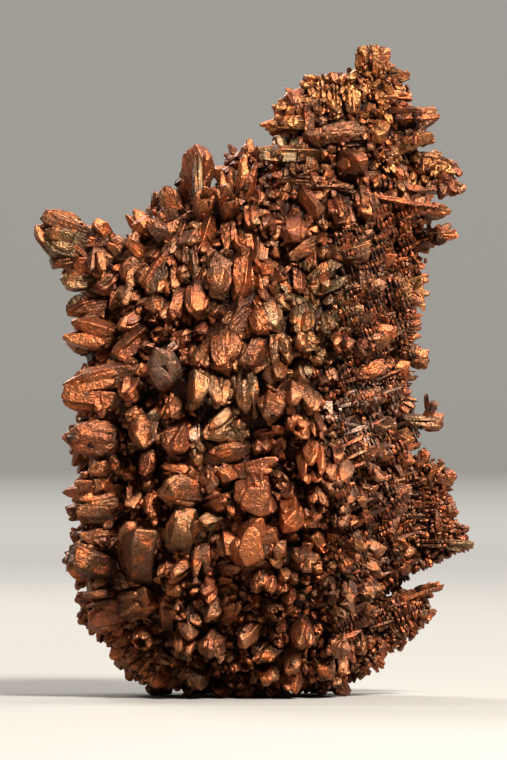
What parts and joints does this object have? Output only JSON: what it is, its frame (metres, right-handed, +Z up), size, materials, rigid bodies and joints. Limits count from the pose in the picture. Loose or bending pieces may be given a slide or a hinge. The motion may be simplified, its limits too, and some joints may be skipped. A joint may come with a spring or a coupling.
{
  "type": "native copper nugget",
  "caption": "Upright branching growth of native copper: stubby pointed crystals packed over a rounded body, with a pointed arm, a tall tower and thin toothed plates.",
  "frame": {"origin": "on the floor, at the middle of the nugget's box", "axes": "+Z up through the tower, +X towards the thin plates, the side shown in the picture faces -Y"},
  "size_m": [0.0279, 0.0199, 0.041],
  "materials": {
    "native_copper": "natural crystallised copper with a thin brown oxide skin, rubbed brighter on edges and tips"
  },
  "bodies": {
    "root": {"copper_nugget": "native_copper"}
  },
  "joints": []
}
